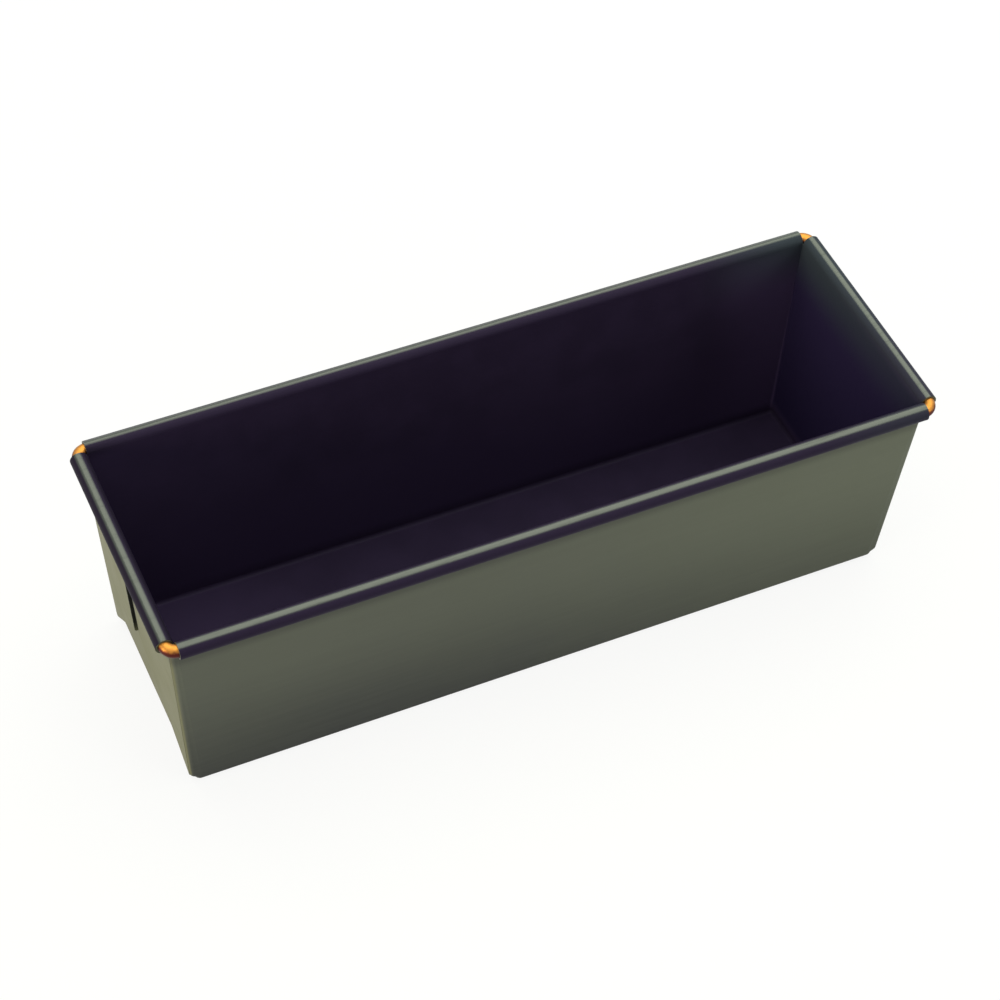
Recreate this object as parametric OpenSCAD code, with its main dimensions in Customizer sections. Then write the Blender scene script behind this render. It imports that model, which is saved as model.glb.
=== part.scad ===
// Loaf pan folded from one sheet, with a rolled wired rim and pocket-folded corners.
// Millimetres, +Z up. The origin is the middle of the base, on the table.
// Long sides face -Y (front) and +Y (back); the ends face -X and +X.

/* [Pan size] */
// Length of the opening at the rim, inside the sheet
pan_length = 300; // [220:10:400]
// Width of the opening at the rim, inside the sheet
pan_width = 95; // [85:1:120]
// Height from the table to the top of the rim
pan_height = 95; // [85:1:120]
// How far each end wall leans in between rim and base
end_inset = 5.5; // [3:0.5:8]
// How far each long wall leans in between rim and base
side_inset = 4.7; // [3:0.1:8]

/* [Sheet] */
// Thickness of the sheet
sheet = 0.7; // [0.6:0.1:1]
// Inside radius where the floor turns up into the walls
floor_bend = 1.9; // [1.7:0.1:3]
// Inside radius of the upright corners at the rim
corner_bend = 0.6; // [0.5:0.1:1.2]
// Thickness of the dark lining on the inside and over the rim
lining = 0.1; // [0.06:0.02:0.2]

/* [Rim] */
// Diameter of the wire inside the rolled rim
wire_d = 5; // [4:0.1:5.6]
// Clearance between the wire and the roll
wire_clearance = 0.1; // [0.05:0.05:0.2]
// Sweep of the roll round the wire, in degrees
roll_sweep = 305; // [280:5:310]
// Length by which each roll runs on past the start of the wire's bend
roll_past = 0.4; // [0:0.05:0.4]
// Butt joint left between the two ends of the wire
wire_joint = 0.5; // [0.2:0.1:2]

/* [Corner flaps] */
// Gap left between folded layers
layer_gap = 0.1; // [0.1:0.05:0.3]
// Space between the two flaps of an end at the low point of the slit
slit_low = 2.5; // [1:0.25:4]
// Space between the two flaps of an end at the top of the slit
slit_top = 3.5; // [1:0.25:5]
// Angle of the fold line above the base edge, in degrees
fold_angle = 45; // [40:1:48]
// Outer radius of the upright fold that carries the long wall round the corner
wrap_radius = 1.8; // [1.6:0.1:4]
// Length over which a fold opens out from the base corner
fold_tip = 4.5; // [4.5:0.5:12]
// Space between the top of a flap and the rolled rim
flap_drop = 0.35; // [0.2:0.05:2]
// Spring-back of the front flaps, in degrees
front_lift = 0.9; // [0.3:0.1:1.2]
// Spring-back of the back flaps, in degrees
back_lift = 1.9; // [0.3:0.1:2.2]

/* [Hidden] */

sheet_color = [0.47, 0.47, 0.39];
lining_color = [0.14, 0.12, 0.15];
wire_color = [0.85, 0.52, 0.21];

round_fn = 64;
corner_fn = 32;
rim_slice = 0.01;
seam = 0.05;
reach = 8;

wire_r = wire_d / 2;
roll_in = wire_r + wire_clearance;
roll_out = roll_in + sheet;
rim_z = pan_height - lining - roll_out;
bend_z = sheet + floor_bend;
base_r = sheet + floor_bend;
lean_h = rim_z - bend_z;

wire_x = pan_length / 2 + roll_out;
wire_y = pan_width / 2 + roll_out;
wire_bend = corner_bend + roll_out;
rim_cx = pan_length / 2 - corner_bend;
rim_cy = pan_width / 2 - corner_bend;
base_cx = pan_length / 2 - end_inset - floor_bend;
base_cy = pan_width / 2 - side_inset - floor_bend;

end_lean = atan(end_inset / lean_h);
wall_h = rim_z / cos(end_lean);
base_in = side_inset * rim_z / lean_h;
corner_turn = atan(base_in / wall_h);
corner_h = wall_h / cos(corner_turn);

half_end = pan_width / 2 + sheet;
stand_off = 2 * (sheet + layer_gap);
hem_r = sheet + layer_gap / 2;
hem_x = layer_gap + hem_r;
flap_top = -(roll_out + lining + flap_drop) / cos(end_lean);
tip_r = base_r - 6 * seam;
wrap_x = stand_off - seam - wrap_radius;

// A ball whose poles and equator lie exactly on its radius.
module ball(r) {
  rotate_extrude($fn = corner_fn)
    intersection() {
      circle(r = r, $fn = corner_fn);
      translate([0, -r])
        square([r, 2 * r]);
    }
}

// Tapered box with a rounded base edge, shared by both faces of the sheet.
module tub(low_r, top_r) {
  hull() {
    for (sx = [-1, 1], sy = [-1, 1]) {
      translate([sx * base_cx, sy * base_cy, bend_z])
        ball(low_r);
      translate([sx * rim_cx, sy * rim_cy, rim_z - rim_slice])
        cylinder(r = top_r, h = rim_slice, $fn = corner_fn);
    }
  }
}

// Section of the roll: a ring left open on the side of the wall.
module roll_section(inner, outer) {
  open = 360 - roll_sweep;
  difference() {
    circle(r = outer, $fn = round_fn);
    circle(r = inner, $fn = round_fn);
    polygon([
      [0, 0],
      [-reach, 0],
      [-reach, -reach * tan(open)]
    ]);
  }
}

// Four straight rolls that stop just past the start of the wire's bends.
module rim_rolls(inner, outer) {
  half_x = rim_cx + roll_past;
  half_y = rim_cy + roll_past;
  for (side = [0, 1]) {
    mirror([side, 0, 0])
      translate([wire_x, half_y, rim_z])
        rotate([90, 0, 0])
          linear_extrude(height = 2 * half_y)
            roll_section(inner, outer);
    mirror([0, side, 0])
      translate([-half_x, wire_y, rim_z])
        rotate([90, 0, 90])
          linear_extrude(height = 2 * half_x)
            roll_section(inner, outer);
  }
}

// Outer face of the right end wall: x outward, y across, z up along the wall.
module on_end() {
  translate([pan_length / 2 + sheet, 0, rim_z])
    rotate([0, end_lean, 0])
      children();
}

// Frame of the upright corner line on that face.
module on_corner() {
  on_end()
    translate([0, half_end, 0])
      rotate([-corner_turn, 0, 0])
        children();
}

// Frame of one flap, sprung out about the top of its corner.
module on_flap(lift) {
  on_end()
    translate([0, half_end, 0])
      rotate([0, 0, lift])
        children();
}

// Frame that runs up the fold line from the base corner.
module on_fold(lift) {
  on_flap(lift)
    translate([0, -base_in, -wall_h])
      rotate([90 - fold_angle, 0, 0])
        children();
}

// Section across the fold line: two layers joined by a tight hem.
module hem_section() {
  difference() {
    union() {
      translate([layer_gap, hem_r])
        square([2 * hem_r, wall_h]);
      intersection() {
        translate([hem_x, hem_r])
          circle(r = hem_r, $fn = corner_fn);
        translate([layer_gap, 0])
          square([2 * hem_r, hem_r]);
      }
    }
    translate([hem_x - layer_gap / 2, hem_r])
      square([layer_gap, 2 * wall_h]);
  }
}

// Outline of a flap on the end wall, seen from outside.
module flap_outline() {
  corner_y = -base_in * (1 - fold_tip / wall_h);
  corner_z = fold_tip - wall_h;
  fold_y = -base_in - fold_tip * cos(fold_angle);
  fold_z = fold_tip * sin(fold_angle) - wall_h;
  slope = (corner_z - fold_z) / (corner_y - fold_y);
  apex_z = (half_end - base_in) * tan(fold_angle) - wall_h;
  polygon([
    [-wrap_radius, flap_top],
    [slit_top / 2 - half_end, flap_top],
    [slit_low / 2 - half_end, apex_z - reach],
    [fold_y - reach, fold_z - reach * slope],
    [corner_y - wrap_radius, corner_z - wrap_radius * slope]
  ]);
}

// One double-layer flap laid on the outside of the end wall.
module flap(lift) {
  intersection() {
    on_fold(lift)
      linear_extrude(height = 2 * wall_h)
        hem_section();
    on_flap(lift)
      rotate([90, 0, 90])
        linear_extrude(height = reach)
          flap_outline();
  }
}

// Section across the upright fold, drawn in on every side by a small amount.
module wrap_section(shrink) {
  translate([wrap_x, -wrap_radius - seam])
    intersection() {
      circle(r = wrap_radius - shrink, $fn = round_fn);
      translate([0, shrink])
        square(wrap_radius);
    }
  translate([shrink - base_r, shrink - wrap_radius - seam])
    square([base_r + wrap_x, wrap_radius - 2 * shrink]);
}

// Upright fold that carries the long wall round the corner.
module corner_wrap() {
  on_corner()
    translate([0, 0, fold_tip - corner_h])
      linear_extrude(height = corner_h - fold_tip + flap_top / cos(corner_turn))
        wrap_section(0);
}

// Pinched start of the fold, rising from the base corner.
module fold_start(lift) {
  hull() {
    translate([base_cx, base_cy, bend_z])
      ball(tip_r);
    on_corner()
      translate([0, 0, fold_tip - corner_h - sheet / 2])
        linear_extrude(height = sheet)
          wrap_section(seam);
    on_fold(lift)
      translate([hem_x, hem_r, fold_tip - sheet / 2])
        cylinder(r = hem_r - seam, h = sheet, $fn = corner_fn);
  }
}

// The walls where the sheet turns the corners, still solid inside.
module folds() {
  for (end = [0, 1]) {
    mirror([end, 0, 0]) {
      corner_wrap();
      fold_start(back_lift);
      mirror([0, 1, 0]) {
        corner_wrap();
        fold_start(front_lift);
      }
    }
  }
}

// The four flaps, two on each end wall.
module flaps() {
  for (end = [0, 1]) {
    mirror([end, 0, 0]) {
      flap(back_lift);
      mirror([0, 1, 0])
        flap(front_lift);
    }
  }
}

// One folded steel sheet: floor, four walls, corner flaps and rolled rim.
module pan_body() {
  color(sheet_color)
    union() {
      difference() {
        union() {
          tub(base_r, corner_bend + sheet);
          folds();
        }
        tub(floor_bend, corner_bend);
      }
      flaps();
      rim_rolls(roll_in, roll_out);
    }
}

// Dark non-stick layer: lines the inside and follows the sheet over the rim.
module nonstick_coating() {
  color(lining_color)
    union() {
      difference() {
        tub(floor_bend, corner_bend);
        tub(floor_bend - lining, corner_bend - lining);
      }
      rim_rolls(roll_out, roll_out + lining);
    }
}

// Copper-coloured wire frame held in the rim, bare at the four corners.
module rim_wire() {
  color(wire_color)
    translate([0, 0, rim_z])
      difference() {
        union() {
          for (side = [0, 1]) {
            mirror([side, 0, 0])
              translate([wire_x, rim_cy, 0])
                rotate([90, 0, 0])
                  cylinder(r = wire_r, h = 2 * rim_cy, $fn = round_fn);
            mirror([0, side, 0])
              translate([-rim_cx, wire_y, 0])
                rotate([0, 90, 0])
                  cylinder(r = wire_r, h = 2 * rim_cx, $fn = round_fn);
          }
          for (end = [0, 1], side = [0, 1]) {
            mirror([end, 0, 0])
              mirror([0, side, 0])
                translate([rim_cx, rim_cy, 0])
                  rotate_extrude(angle = 90, $fn = round_fn)
                    translate([wire_bend, 0])
                      circle(r = wire_r, $fn = round_fn);
          }
        }
        translate([-wire_joint / 2, wire_y - reach, -reach])
          cube([wire_joint, 2 * reach, 2 * reach]);
      }
}

pan_body();
nonstick_coating();
rim_wire();
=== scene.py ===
"""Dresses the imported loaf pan: folded sheet, dark lining, rolled rim and wire.

Everything is in metres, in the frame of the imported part: +Z is up, the
origin is the middle of the base, and the front long wall faces -Y.
"""

import math

import bmesh
import bpy
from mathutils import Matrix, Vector


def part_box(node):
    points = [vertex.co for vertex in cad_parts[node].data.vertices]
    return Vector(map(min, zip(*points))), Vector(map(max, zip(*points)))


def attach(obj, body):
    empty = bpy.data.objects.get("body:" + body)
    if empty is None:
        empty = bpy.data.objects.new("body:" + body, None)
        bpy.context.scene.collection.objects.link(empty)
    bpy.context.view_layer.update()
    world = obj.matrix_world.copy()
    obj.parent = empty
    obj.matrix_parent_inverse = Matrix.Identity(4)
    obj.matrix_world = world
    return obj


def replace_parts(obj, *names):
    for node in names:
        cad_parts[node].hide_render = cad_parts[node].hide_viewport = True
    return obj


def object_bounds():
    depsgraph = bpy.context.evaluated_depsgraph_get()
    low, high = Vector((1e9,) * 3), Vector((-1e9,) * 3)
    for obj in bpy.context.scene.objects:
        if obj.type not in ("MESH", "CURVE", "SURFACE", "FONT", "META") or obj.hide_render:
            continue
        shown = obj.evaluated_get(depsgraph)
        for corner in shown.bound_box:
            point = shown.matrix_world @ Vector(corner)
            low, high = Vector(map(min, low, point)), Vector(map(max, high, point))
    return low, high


bl_info = {
    "name": "Loaf Pan",
    "version": (1, 0, 0),
    "blender": (4, 5, 0),
    "location": "3D View > Sidebar > Loaf Pan",
    "description": "Dresses a folded loaf pan with a wired rim and sets its studio",
    "category": "Object",
}

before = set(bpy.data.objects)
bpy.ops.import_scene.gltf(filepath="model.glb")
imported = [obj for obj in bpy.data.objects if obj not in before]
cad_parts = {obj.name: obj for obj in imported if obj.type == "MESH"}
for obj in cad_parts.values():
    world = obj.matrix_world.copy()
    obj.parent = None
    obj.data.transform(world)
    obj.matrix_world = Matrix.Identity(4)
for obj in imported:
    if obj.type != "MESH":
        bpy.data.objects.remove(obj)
CAD_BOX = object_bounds()
MM = 0.001

# Places on the pan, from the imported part
WIRE_LOW, WIRE_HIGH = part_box("rim_wire")
WIRE_RADIUS = (WIRE_HIGH[2] - WIRE_LOW[2]) / 2
WIRE_LEVEL = (WIRE_HIGH[2] + WIRE_LOW[2]) / 2
WIRE_X = WIRE_HIGH[0] - WIRE_RADIUS
WIRE_Y = WIRE_HIGH[1] - WIRE_RADIUS
ROLL_RADIUS = CAD_BOX[1][2] - WIRE_LEVEL

# How far the end and long walls lean in over their height, and their slopes
END_INSET = 5.5 * MM
SIDE_INSET = 4.7 * MM
LEAN_HEIGHT = 89 * MM
END_LEAN = END_INSET / LEAN_HEIGHT
SIDE_LEAN = SIDE_INSET / LEAN_HEIGHT

# Inner face of an end wall, and the middle of a corner fold, level with the table
END_AT_FLOOR = WIRE_X - 8.8 * MM
FOLD_X = WIRE_X - 8.5 * MM
FOLD_Y = WIRE_Y - 9.3 * MM

# Points closer than this are one point, and faces flatter than this one face
SAME_POINT = 0.001 * MM
SAME_PLANE = math.radians(0.1)

# Facets that meet at less than this angle are shaded as one round face
SHALLOW = math.radians(30.0)

# A face larger than this is a flat wall, flap or floor and stays flat
BROAD = 350 * MM * MM

# The glossy crown of the rolls: how far from its middle it is full, and where it ends
CROWN_FULL = math.radians(4.0)
CROWN_EDGE = math.radians(30.0)
RIGHT_EDGE = math.radians(22.0)

# The crown's tilt away from the opening, on the right roll a tilt towards it
CROWN_TILT = math.radians(9.0)
RIGHT_TILT = math.radians(-7.0)

# How far the edges of some tones wander up and down
LACQUER_WANDER = 12 * MM
BASE_WANDER = 3 * MM
UNDERSIDE_WANDER = 1.2 * MM

# Where the lacquer's tones begin and end, several of them painted light and shade
SHADED_LOW = (-10 * MM, 78 * MM)
RUBBED_SHADED_BASE = (2.2 * MM, 5.0 * MM)
LIT_TOWARD_RIGHT = (-60 * MM, 150 * MM)
SHADE_UNDER_ROLL = (76 * MM, 82 * MM)
ACROSS_FOLD = (-0.5 * MM, 0.5 * MM)
OUTER_FACE = (-1.5 * MM, -0.5 * MM)
SLIT_HALF = (1.80 * MM, 2.05 * MM)
SLIT_FOOT = (40 * MM, 48 * MM)
SLIT_DEPTH = (140 * MM, 141 * MM)

# Where the lining's tones begin and end, most of them painted light and shade
ROLL_START = (-0.2 * MM, 0.2 * MM)
RIGHT_ROLL = (-0.1 * MM, 0.1 * MM)
ROLL_INSIDE_SHADE = (0.3 * ROLL_RADIUS, 0.8 * ROLL_RADIUS)
LEFT_ROLL_SHADE = (-WIRE_X - 0.6 * ROLL_RADIUS, -WIRE_X + 0.1 * ROLL_RADIUS)
WALL_FOOT = (1 * MM, 8 * MM)
WALL_DEEP_LIT = (8 * MM, 65 * MM)
RIGHT_CORNER_LIT = (105 * MM, 148 * MM)
INNER_END = (END_AT_FLOOR - 1.2 * MM, END_AT_FLOOR - 0.5 * MM)
RIGHT_LIT_ALONG = (95 * MM, 152 * MM)
RIGHT_LIT_UP = (68 * MM, 93 * MM)
LEFT_END_LIT = (-150 * MM, -60 * MM)
NEAR_HALF = (-0.1, 0.1)
FLOOR_EDGE_START = (0.85 * MM, 1.05 * MM)
FLOOR_EDGE_END = (2.2 * MM, 3.2 * MM)

# Levels between which the wire turns from its painted shade below to bright
BRIGHT_WIRE = (WIRE_LEVEL + 0.30 * WIRE_RADIUS, WIRE_LEVEL + 0.95 * WIRE_RADIUS)

# Tones of painted light and shade that the lacquer and the lining take in some places; the
# ends' tone is partly the lacquer's own
RIGHT_LIT_LACQUER = (0.232, 0.255, 0.185)
END_LIT_LACQUER = (0.165, 0.166, 0.103)
END_SHADED_LINING = (0.0190, 0.0130, 0.0500)
RIGHT_LIT_LINING = (0.032, 0.042, 0.056)
CROWN_HIGHLIGHT_LINING = (0.022, 0.038, 0.016)

# Noise that is finer along one or two axes than along the rest, in repeats per metre
ROLLED_LINES = (14.0, 14.0, 420.0)
SCUFF_LINES = (90.0, 90.0, 900.0)
RUB_LINES = (60.0, 700.0, 240.0)

# The floor: its half width, and how far it lies below the pan
FLOOR_HALF = 3.0
FLOOR_DROP = 0.3 * MM

# The pan's shadow shows on the floor up to the first distance, and fades by the second
SHADOW_NEAR = 0.30
SHADOW_FAR = 0.75

# Colours of the floor that carries the shadow, and of the background
PALE = (0.95, 0.95, 0.95)
WHITE = (1.0, 1.0, 1.0)

# The lamps: places, sizes, tints, and what they point at
OVERHEAD_PLACE = (0.50, 0.45, 1.35)
OVERHEAD_AIM = (0.50, 0.45, 0.0)
OVERHEAD_SIZE = (2.6, 1.9)
LEFT_PLACE = (-1.50, -0.20, 0.35)
LEFT_SIZE = (0.90, 0.50)
FRONT_PLACE = (0.95, -1.15, 0.70)
FRONT_SIZE = (0.90, 0.60)
PAN_MIDDLE = (0.0, 0.0, 0.05)
WARM_LIGHT = (1.0, 0.93, 0.62)
GREEN_LIGHT = (0.95, 1.0, 0.80)

# The camera's sensor in millimetres, and the range that it sees
SENSOR_WIDTH = 36.0
NEAREST_SEEN = 0.01
FARTHEST_SEEN = 20.0

# Sockets of the Mix node when it blends colours
MIX_FACTOR, MIX_FIRST, MIX_SECOND, MIX_RESULT = 0, 6, 7, 2


class PanFinishSettings(bpy.types.PropertyGroup):
    """Colours of the pan's surfaces."""

    lacquer: bpy.props.FloatVectorProperty(
        name="Lacquer",
        description="Olive-grey lacquer on the outside of the sheet, near the rim",
        subtype="COLOR",
        size=3,
        min=0.0,
        max=1.0,
        default=(0.150, 0.160, 0.140),
    )
    # Painted shade: a shaded copy of the lacquer, used towards the base, along the base
    # edge, under the roll and in the slit
    lacquer_shaded: bpy.props.FloatVectorProperty(
        name="Lacquer near the base",
        description="The same lacquer where the oven has darkened it",
        subtype="COLOR",
        size=3,
        min=0.0,
        max=1.0,
        default=(0.053, 0.056, 0.058),
    )
    lining: bpy.props.FloatVectorProperty(
        name="Lining",
        description="Dark non-stick layer of the inside and the rim",
        subtype="COLOR",
        size=3,
        min=0.0,
        max=1.0,
        default=(0.0235, 0.0155, 0.0420),
    )
    copper: bpy.props.FloatVectorProperty(
        name="Copper",
        description="Drawn wire where it is bare",
        subtype="COLOR",
        size=3,
        min=0.0,
        max=1.0,
        default=(0.50, 0.215, 0.042),
    )
    # Painted shade: the darker colour of the wire's underside
    underside_shade: bpy.props.FloatVectorProperty(
        name="Tarnish",
        description="Underside of the wire",
        subtype="COLOR",
        size=3,
        min=0.0,
        max=1.0,
        default=(0.085, 0.018, 0.014),
    )


class PanStageSettings(bpy.types.PropertyGroup):
    """Camera, lamps and floor."""

    camera_place: bpy.props.FloatVectorProperty(
        name="Camera place",
        description="Where the camera stands",
        subtype="TRANSLATION",
        unit="LENGTH",
        size=3,
        default=(-0.3079, -0.6197, 0.8493),
    )
    camera_turn: bpy.props.FloatVectorProperty(
        name="Camera turn",
        description="Turn of the camera about X, Y and Z",
        subtype="EULER",
        unit="ROTATION",
        size=3,
        default=tuple(math.radians(turn) for turn in (40.902, -1.909, -24.010)),
    )
    lens: bpy.props.FloatProperty(
        name="Lens",
        description="Focal length on a 36 mm wide sensor, in millimetres",
        min=10.0,
        max=300.0,
        default=98.54,
    )
    floor_white: bpy.props.FloatProperty(
        name="Floor white",
        description="How much of the floor round the pan is seen as plain white",
        min=0.0,
        max=1.0,
        default=0.88,
    )
    floor_albedo: bpy.props.FloatProperty(
        name="Floor bounce",
        description="How much light the floor throws back at the pan",
        min=0.0,
        max=1.0,
        default=0.45,
    )
    fill: bpy.props.FloatProperty(
        name="Fill", description="Even light from all round", min=0.0, max=2.0, default=0.2
    )
    overhead: bpy.props.FloatProperty(
        name="Overhead lamp",
        description="Soft lamp above the pan",
        unit="POWER",
        min=0.0,
        max=200.0,
        default=34.0,
    )
    left: bpy.props.FloatProperty(
        name="Left lamp",
        description="Lamp on the left of the pan",
        unit="POWER",
        min=0.0,
        max=200.0,
        default=14.5,
    )
    front: bpy.props.FloatProperty(
        name="Front lamp",
        description="Lamp in front of the pan",
        unit="POWER",
        min=0.0,
        max=200.0,
        default=6.0,
    )


class Value:
    """A shader socket on which Python arithmetic adds Math nodes."""

    def __init__(self, nodes, socket):
        self.nodes = nodes
        self.socket = socket

    def output(self, name):
        """Another output of the same node."""
        return Value(self.nodes, self.socket.node.outputs[name])

    def _math(self, operation, first, second=None, clamp=False):
        sockets = {0: first}
        if second is not None:
            sockets[1] = second
        settings = {"operation": operation, "use_clamp": clamp}
        return self.nodes.add("ShaderNodeMath", settings, sockets)

    def __add__(self, other):
        return self._math("ADD", self, other)

    def __radd__(self, other):
        return self._math("ADD", other, self)

    def __sub__(self, other):
        return self._math("SUBTRACT", self, other)

    def __rsub__(self, other):
        return self._math("SUBTRACT", other, self)

    def __mul__(self, other):
        return self._math("MULTIPLY", self, other)

    def __rmul__(self, other):
        return self._math("MULTIPLY", other, self)

    def __truediv__(self, other):
        return self._math("DIVIDE", self, other)

    def __rtruediv__(self, other):
        return self._math("DIVIDE", other, self)

    def __abs__(self):
        return self._math("ABSOLUTE", self)

    def larger(self, other):
        return self._math("MAXIMUM", self, other)

    def clamped(self):
        return self._math("ADD", self, 0.0, clamp=True)

    def step(self, low, high):
        """0 below low, 1 above high, smooth between."""
        settings = {"interpolation_type": "SMOOTHSTEP"}
        sockets = {"Value": self, "From Min": low, "From Max": high}
        return self.nodes.add("ShaderNodeMapRange", settings, sockets)


class Nodes:
    """The node tree of a material or a world, filled node by node."""

    def __init__(self, owner):
        owner.use_nodes = True
        self.owner = owner
        self.tree = owner.node_tree
        self.tree.nodes.clear()

    def add(self, kind, settings=None, sockets=None, out=0):
        """Adds a node; a socket takes a number, a colour, a vector or a Value."""
        node = self.tree.nodes.new(kind)
        for key, value in (settings or {}).items():
            setattr(node, key, value)
        for key, value in (sockets or {}).items():
            if isinstance(value, Value):
                self.tree.links.new(value.socket, node.inputs[key])
            else:
                node.inputs[key].default_value = value
        return None if out is None else Value(self, node.outputs[out])

    def place(self):
        """Object coordinates, in metres."""
        return self.add("ShaderNodeTexCoord", out="Object")

    def axes(self):
        """X, Y and Z of the object coordinates."""
        first = self.add("ShaderNodeSeparateXYZ", sockets={0: self.place()})
        return first, first.output("Y"), first.output("Z")

    def noise(self, scale, detail=2.0, rough=0.5, stretch=None):
        place = self.place()
        if stretch is not None:
            sockets = {"Vector": place, "Scale": stretch}
            place = self.add("ShaderNodeMapping", sockets=sockets)
        sockets = {"Vector": place, "Scale": scale, "Detail": detail, "Roughness": rough}
        return self.add("ShaderNodeTexNoise", sockets=sockets)

    def mix(self, factor, first, second):
        """Blends two colours."""
        sockets = {MIX_FACTOR: factor, MIX_FIRST: opaque(first), MIX_SECOND: opaque(second)}
        return self.add("ShaderNodeMix", {"data_type": "RGBA"}, sockets, out=MIX_RESULT)

    def bump(self, height, distance, normal=None):
        sockets = {"Height": height, "Distance": distance}
        if normal is not None:
            sockets["Normal"] = normal
        return self.add("ShaderNodeBump", sockets=sockets)

    def seen(self):
        """1 for rays that show the surroundings, 0 for rays that light the pan."""
        camera = self.add("ShaderNodeLightPath", out="Is Camera Ray")
        mirrored = camera.output("Is Glossy Ray") + camera.output("Is Transmission Ray")
        return (camera + mirrored).clamped()

    def surface(self, sockets):
        """Ends a material in a Principled shader with these sockets."""
        shader = self.add("ShaderNodeBsdfPrincipled", sockets=sockets)
        self.add("ShaderNodeOutputMaterial", sockets={"Surface": shader}, out=None)
        return self.owner


def opaque(colour):
    """A colour as a Mix node's socket takes it."""
    if isinstance(colour, Value):
        return colour
    return (*colour, 1.0)


def shade(colour, factor):
    """The colour, darker or lighter by a factor."""
    return tuple(min(1.0, channel * factor) for channel in colour)


def lacquer_finish(colour, shaded_colour):
    """Satin olive-grey lacquer: soft mottling, fine grain, a scuffed base edge, and painted
    light and shade: darker towards the base, on the base edge and under the roll, lighter
    towards the right, warmer on the ends, and a painted shadow in the slit.
    """
    nodes = Nodes(bpy.data.materials.new("olive_grey_lacquer"))
    x, y, z = nodes.axes()
    drift = nodes.noise(14.0, detail=2.0)
    # Painted shade: the lacquer turns to its shaded copy towards the base
    height = z + (drift - 0.5) * LACQUER_WANDER
    tone = nodes.mix(height.step(*SHADED_LOW), shaded_colour, colour)
    blotch = nodes.noise(38.0, detail=3.0).step(0.35, 0.65)
    tone = nodes.mix(blotch * 0.06, tone, shade(colour, 1.3))
    rolled = nodes.noise(1.0, detail=3.0, rough=0.6, stretch=ROLLED_LINES).step(0.30, 0.72)
    tone = nodes.mix(rolled * 0.05, tone, shade(colour, 1.5))
    grain = nodes.noise(2600.0, detail=2.0).step(0.58, 0.74)
    tone = nodes.mix(grain * 0.12, tone, shade(colour, 0.45))
    scuff = nodes.noise(1.0, detail=5.0, rough=0.65, stretch=SCUFF_LINES)
    # Darker scuffed marks along the base edge: partly wear, partly painted contact shade
    above_base = z + nodes.noise(55.0, detail=3.0) * BASE_WANDER
    base_edge = 1.0 - above_base.step(*RUBBED_SHADED_BASE)
    rubbed_and_shaded = (base_edge * scuff.step(0.40, 0.62)).clamped()
    tone = nodes.mix(rubbed_and_shaded * 0.7, tone, shade(shaded_colour, 0.45))
    # Painted light: the lacquer turns lighter and greener towards the right end
    tone = nodes.mix(x.step(*LIT_TOWARD_RIGHT) * 0.30, tone, RIGHT_LIT_LACQUER)
    # A warmer, slightly lighter tone on the end walls: partly the lacquer's own tone,
    # partly painted warm light
    tone = nodes.mix(end_side(x, y, z) * 0.9, tone, END_LIT_LACQUER)
    # Painted shadow: the walls darken in a band just under the roll
    tone = nodes.mix(z.step(*SHADE_UNDER_ROLL) * 0.4, tone, shade(shaded_colour, 0.6))
    tone = nodes.mix(slit_shadow(x, y, z) * 0.95, tone, shade(shaded_colour, 0.15))
    gloss = 0.46 + blotch * 0.05 + scuff.step(0.45, 0.75) * 0.08
    relief = nodes.bump(nodes.noise(9.0, detail=1.0), 1.0 * MM)
    relief = nodes.bump(nodes.noise(1500.0, detail=1.0), 0.008 * MM, relief)
    return nodes.surface(
        {
            "Base Color": tone,
            "Roughness": gloss,
            "Specular IOR Level": 0.09,
            "Normal": relief,
        }
    )


def end_side(x, y, z):
    """1 on the outside of the end walls, up to the middle of the corner folds."""
    past_end = abs(x) - z * END_LEAN - FOLD_X
    past_side = abs(y) - z * SIDE_LEAN - FOLD_Y
    facing = (past_end - past_side).step(*ACROSS_FOLD)
    return facing * past_end.step(*OUTER_FACE)


def slit_shadow(x, y, z):
    """1 inside the narrow slit between the two flaps of an end."""
    middle = 1.0 - abs(y).step(*SLIT_HALF)
    above = z.step(*SLIT_FOOT)
    outside = abs(x).step(*SLIT_DEPTH)
    return middle * above * outside


def roll_crown(x, y, z):
    """1 along the glossy crown of the rolls, 0 elsewhere."""
    rise = (z - WIRE_LEVEL) / ROLL_RADIUS
    outward = (abs(x) - WIRE_X).larger(abs(y) - WIRE_Y) / ROLL_RADIUS
    facing = rise * math.cos(CROWN_TILT) + outward * math.sin(CROWN_TILT)
    crown = facing.step(math.cos(CROWN_EDGE), math.cos(CROWN_FULL))
    right_facing = rise * math.cos(RIGHT_TILT) + outward * math.sin(RIGHT_TILT)
    right_crown = right_facing.step(math.cos(RIGHT_EDGE), math.cos(CROWN_FULL))
    right_roll = (x - WIRE_X + ROLL_RADIUS).step(*RIGHT_ROLL)
    return crown + (right_crown - crown) * right_roll


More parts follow.
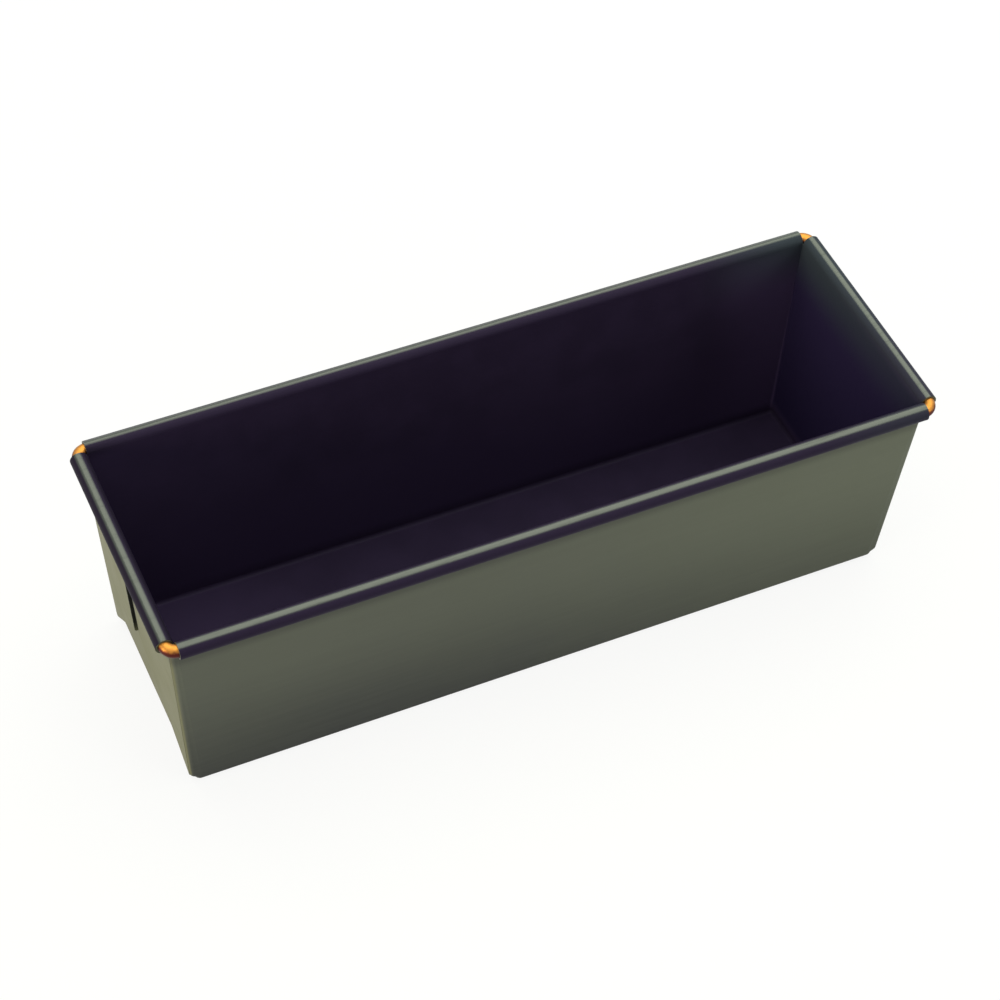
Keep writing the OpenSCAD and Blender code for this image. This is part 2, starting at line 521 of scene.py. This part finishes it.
def lining_finish(colour):
    """Dark satin non-stick layer, worn glossy along the crown of the rolls, with a painted
    highlight on the crown and painted light and shade on the rolls and the inner walls.
    """
    nodes = Nodes(bpy.data.materials.new("dark_nonstick"))
    x, y, z = nodes.axes()
    beyond = (abs(x) - WIRE_X).larger(abs(y) - WIRE_Y) + ROLL_RADIUS
    rolled = beyond.step(*ROLL_START)
    mottle = nodes.noise(60.0, detail=3.0).step(0.35, 0.68)
    tone = nodes.mix(mottle * 0.5, shade(colour, 0.96), shade(colour, 1.26))
    tone = nodes.mix(rolled, tone, shade(colour, 0.90))
    # Painted shade: the outer side of the left roll is darkened
    left_roll_shade = 1.0 - x.step(*LEFT_ROLL_SHADE)
    tone = nodes.mix(left_roll_shade * 0.7, tone, shade(colour, 0.25))
    fleck = nodes.noise(5200.0, detail=1.0).step(0.66, 0.74)
    tone = nodes.mix(fleck * 0.30, tone, shade(colour, 3.0))
    wall = z.step(*WALL_FOOT) * (1.0 - rolled)
    # Painted light: the lower part of the inner walls is lightened
    deep_lit = wall * (1.0 - z.step(*WALL_DEEP_LIT))
    tone = nodes.mix(deep_lit, tone, shade(colour, 1.75))
    # Painted light: the inner walls lighten towards the right end
    tone = nodes.mix(x.step(*RIGHT_CORNER_LIT) * wall, tone, shade(colour, 2.8))
    # Painted shade: the inner end walls take a darker, bluer tone against the warm lamp
    # light on them
    inner_end_shade = (x - z * END_LEAN).step(*INNER_END) * wall
    tone = nodes.mix(inner_end_shade, tone, END_SHADED_LINING)
    # Painted light: a lighter, greener tone high on the inner walls near the right end,
    # strongest towards the back
    right_lit = x.step(*RIGHT_LIT_ALONG) * z.step(*RIGHT_LIT_UP)
    toward_back = y.step(-WIRE_Y, WIRE_Y)
    tone = nodes.mix(right_lit * (0.4 + toward_back * 0.55), tone, RIGHT_LIT_LINING)
    # Painted light: the inside lightens towards the left end
    left_end_lit = (1.0 - x.step(*LEFT_END_LIT)) * (1.0 - rolled) * (1.0 - wall * 0.6)
    tone = nodes.mix(left_end_lit, tone, shade(colour, 1.75))
    # Painted shade: the inner sides of the front and left rolls are darkened
    near = 1.0 - (x / WIRE_X + y / WIRE_Y).step(*NEAR_HALF)
    inner_side_shade = (1.0 - beyond.step(*ROLL_INSIDE_SHADE)) * rolled * near
    tone = nodes.mix(inner_side_shade * 0.75, tone, shade(colour, 0.2))
    # Painted shade in the crease where the floor bends up into the walls
    floor_edge_shade = z.step(*FLOOR_EDGE_START) * (1.0 - z.step(*FLOOR_EDGE_END))
    tone = nodes.mix(floor_edge_shade * 0.35, tone, shade(colour, 0.4))
    crown = roll_crown(x, y, z)
    # Painted highlight: the glossy crown of the rolls also takes a lighter grey-green tone
    tone = nodes.mix(crown * 0.7, tone, CROWN_HIGHLIGHT_LINING)
    rub = nodes.noise(1.0, detail=4.0, rough=0.6, stretch=RUB_LINES).step(0.50, 0.75)
    gloss = 0.52 + mottle * 0.05 + rub * 0.06
    relief = nodes.bump(nodes.noise(8.0, detail=1.0), 0.6 * MM)
    relief = nodes.bump(nodes.noise(2200.0, detail=1.0), 0.006 * MM, relief)
    return nodes.surface(
        {
            "Base Color": tone,
            "Roughness": gloss,
            "Specular IOR Level": 0.07,
            "Coat Weight": crown * (1.0 - rub * 0.30),
            "Coat Roughness": 0.22,
            "Coat IOR": 1.62,
            "Normal": relief,
        }
    )


def copper_finish(colour, underside_shade):
    """Drawn copper-coloured wire, bright on top and with painted shade below."""
    nodes = Nodes(bpy.data.materials.new("copper_wire"))
    _, _, z = nodes.axes()
    patch = nodes.noise(420.0, detail=3.0).step(0.42, 0.70)
    tone = nodes.mix(patch * 0.25, colour, shade(colour, 0.62))
    # Painted shade: the wire darkens below a wandering level
    level = z + (nodes.noise(700.0, detail=2.0) - 0.5) * UNDERSIDE_WANDER
    tone = nodes.mix(level.step(*BRIGHT_WIRE), underside_shade, tone)
    gloss = 0.42 + patch * 0.10
    relief = nodes.bump(nodes.noise(2400.0, detail=2.0), 0.012 * MM)
    return nodes.surface(
        {
            "Base Color": tone,
            "Roughness": gloss,
            "Metallic": 1.0,
            "Normal": relief,
        }
    )


def dressed_copy(name, title, material):
    """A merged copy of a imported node, with its rolls, folds and wire shaded round."""
    shape = bmesh.new()
    shape.from_mesh(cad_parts[name].data)
    bmesh.ops.remove_doubles(shape, verts=shape.verts, dist=SAME_POINT)
    bmesh.ops.recalc_face_normals(shape, faces=shape.faces)
    edges = shape.edges
    bmesh.ops.dissolve_limit(shape, angle_limit=SAME_PLANE, verts=shape.verts, edges=edges)
    for face in shape.faces:
        face.smooth = face.calc_area() < BROAD
    for edge in shape.edges:
        edge.smooth = edge.is_manifold and edge.calc_face_angle() < SHALLOW
    mesh = bpy.data.meshes.new(title)
    shape.to_mesh(mesh)
    shape.free()
    packed_normals = mesh.attributes.get("custom_normal")
    if packed_normals is not None:
        mesh.attributes.remove(packed_normals)
    mesh.materials.append(material)
    piece = bpy.data.objects.new(title, mesh)
    bpy.context.collection.objects.link(piece)
    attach(piece, "root")
    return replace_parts(piece, name)


class LOAFPAN_OT_sheet(bpy.types.Operator):
    """Finish the folded sheet with its lacquer"""

    bl_idname = "loaf_pan.sheet"
    bl_label = "Folded Sheet"

    def execute(self, context):
        settings = context.scene.pan_finish
        material = lacquer_finish(settings.lacquer, settings.lacquer_shaded)
        dressed_copy("pan_body", "folded_sheet", material)
        return {"FINISHED"}


class LOAFPAN_OT_lining(bpy.types.Operator):
    """Finish the dark lining of the inside and the rim"""

    bl_idname = "loaf_pan.lining"
    bl_label = "Non-stick Lining"

    def execute(self, context):
        settings = context.scene.pan_finish
        material = lining_finish(settings.lining)
        dressed_copy("nonstick_coating", "dark_lining", material)
        return {"FINISHED"}


class LOAFPAN_OT_wire(bpy.types.Operator):
    """Finish the copper-coloured rim wire"""

    bl_idname = "loaf_pan.wire"
    bl_label = "Rim Wire"

    def execute(self, context):
        settings = context.scene.pan_finish
        material = copper_finish(settings.copper, settings.underside_shade)
        dressed_copy("rim_wire", "bent_wire", material)
        return {"FINISHED"}


def add_lamp(name, place, size, watts, tint, aim=PAN_MIDDLE):
    """A soft rectangular lamp that points from its place at the aim."""
    data = bpy.data.lights.new(name, "AREA")
    data.shape = "RECTANGLE"
    data.size, data.size_y = size
    data.energy = watts
    data.color = tint
    lamp = bpy.data.objects.new(name, data)
    lamp.location = place
    lamp.rotation_euler = (Vector(aim) - Vector(place)).to_track_quat("-Z", "Y").to_euler()
    bpy.context.collection.objects.link(lamp)


class LOAFPAN_OT_stage(bpy.types.Operator):
    """Set the floor, the lamps, the background and the camera"""

    bl_idname = "loaf_pan.stage"
    bl_label = "Studio"

    def execute(self, context):
        settings = context.scene.pan_stage
        self.floor(settings)
        self.background(context.scene, settings)
        self.lamps(settings)
        self.camera(context.scene, settings)
        context.scene.view_settings.view_transform = "Standard"
        return {"FINISHED"}

    def floor(self, settings):
        mesh = bpy.data.meshes.new("studio_floor")
        shape = bmesh.new()
        bmesh.ops.create_grid(shape, x_segments=1, y_segments=1, size=FLOOR_HALF)
        bmesh.ops.translate(shape, verts=shape.verts, vec=(0.0, 0.0, -FLOOR_DROP))
        shape.to_mesh(mesh)
        shape.free()
        floor = bpy.data.objects.new("studio_floor", mesh)
        bpy.context.collection.objects.link(floor)
        nodes = Nodes(bpy.data.materials.new("pale_floor"))
        x, y, _ = nodes.axes()
        far = (x * x + y * y).step(SHADOW_NEAR**2, SHADOW_FAR**2)
        bounce = (settings.floor_albedo,) * 3
        lighting = nodes.add("ShaderNodeBsdfDiffuse", sockets={"Color": opaque(bounce)})
        pale = nodes.add("ShaderNodeBsdfDiffuse", sockets={"Color": opaque(PALE)})
        white = nodes.add("ShaderNodeEmission", sockets={"Strength": 1.0})
        share = far.larger(settings.floor_white)
        shown = nodes.add("ShaderNodeMixShader", sockets={0: share, 1: pale, 2: white})
        mixed = nodes.add(
            "ShaderNodeMixShader", sockets={0: nodes.seen(), 1: lighting, 2: shown}
        )
        nodes.add("ShaderNodeOutputMaterial", sockets={"Surface": mixed}, out=None)
        floor.data.materials.append(nodes.owner)

    def background(self, scene, settings):
        scene.world = bpy.data.worlds.new("studio")
        nodes = Nodes(scene.world)
        fill = {"Color": opaque(WHITE), "Strength": settings.fill}
        light = nodes.add("ShaderNodeBackground", sockets=fill)
        shown = {"Color": opaque(WHITE), "Strength": 1.0}
        white = nodes.add("ShaderNodeBackground", sockets=shown)
        mixed = nodes.add(
            "ShaderNodeMixShader", sockets={0: nodes.seen(), 1: light, 2: white}
        )
        nodes.add("ShaderNodeOutputWorld", sockets={"Surface": mixed}, out=None)

    def lamps(self, settings):
        watts = settings.overhead
        add_lamp(
            "overhead_lamp", OVERHEAD_PLACE, OVERHEAD_SIZE, watts, GREEN_LIGHT, OVERHEAD_AIM
        )
        add_lamp("left_lamp", LEFT_PLACE, LEFT_SIZE, settings.left, WARM_LIGHT)
        add_lamp("front_lamp", FRONT_PLACE, FRONT_SIZE, settings.front, GREEN_LIGHT)

    def camera(self, scene, settings):
        data = bpy.data.cameras.new("photo_camera")
        data.lens = settings.lens
        data.sensor_width = SENSOR_WIDTH
        data.sensor_fit = "HORIZONTAL"
        data.clip_start = NEAREST_SEEN
        data.clip_end = FARTHEST_SEEN
        camera = bpy.data.objects.new("photo_camera", data)
        camera.location = settings.camera_place
        camera.rotation_euler = settings.camera_turn
        bpy.context.collection.objects.link(camera)
        scene.camera = camera


class LOAFPAN_PT_panel(bpy.types.Panel):
    """Lists the pan's pieces in the sidebar"""

    bl_idname = "LOAFPAN_PT_panel"
    bl_label = "Loaf Pan"
    bl_space_type = "VIEW_3D"
    bl_region_type = "UI"
    bl_category = "Loaf Pan"

    def draw(self, context):
        layout = self.layout
        for name in STEPS:
            layout.operator("loaf_pan." + name)
        for group in (context.scene.pan_finish, context.scene.pan_stage):
            box = layout.box()
            for key in group.__annotations__:
                box.prop(group, key)


STEPS = ("sheet", "lining", "wire", "stage")

CLASSES = (
    PanFinishSettings,
    PanStageSettings,
    LOAFPAN_OT_sheet,
    LOAFPAN_OT_lining,
    LOAFPAN_OT_wire,
    LOAFPAN_OT_stage,
    LOAFPAN_PT_panel,
)


def register():
    for item in CLASSES:
        bpy.utils.register_class(item)
    bpy.types.Scene.pan_finish = bpy.props.PointerProperty(type=PanFinishSettings)
    bpy.types.Scene.pan_stage = bpy.props.PointerProperty(type=PanStageSettings)


def unregister():
    del bpy.types.Scene.pan_stage
    del bpy.types.Scene.pan_finish
    for item in reversed(CLASSES):
        bpy.utils.unregister_class(item)


def main():
    register()
    for name in STEPS:
        getattr(bpy.ops.loaf_pan, name)()
    bpy.context.view_layer.update()


if __name__ == "__main__":
    main()
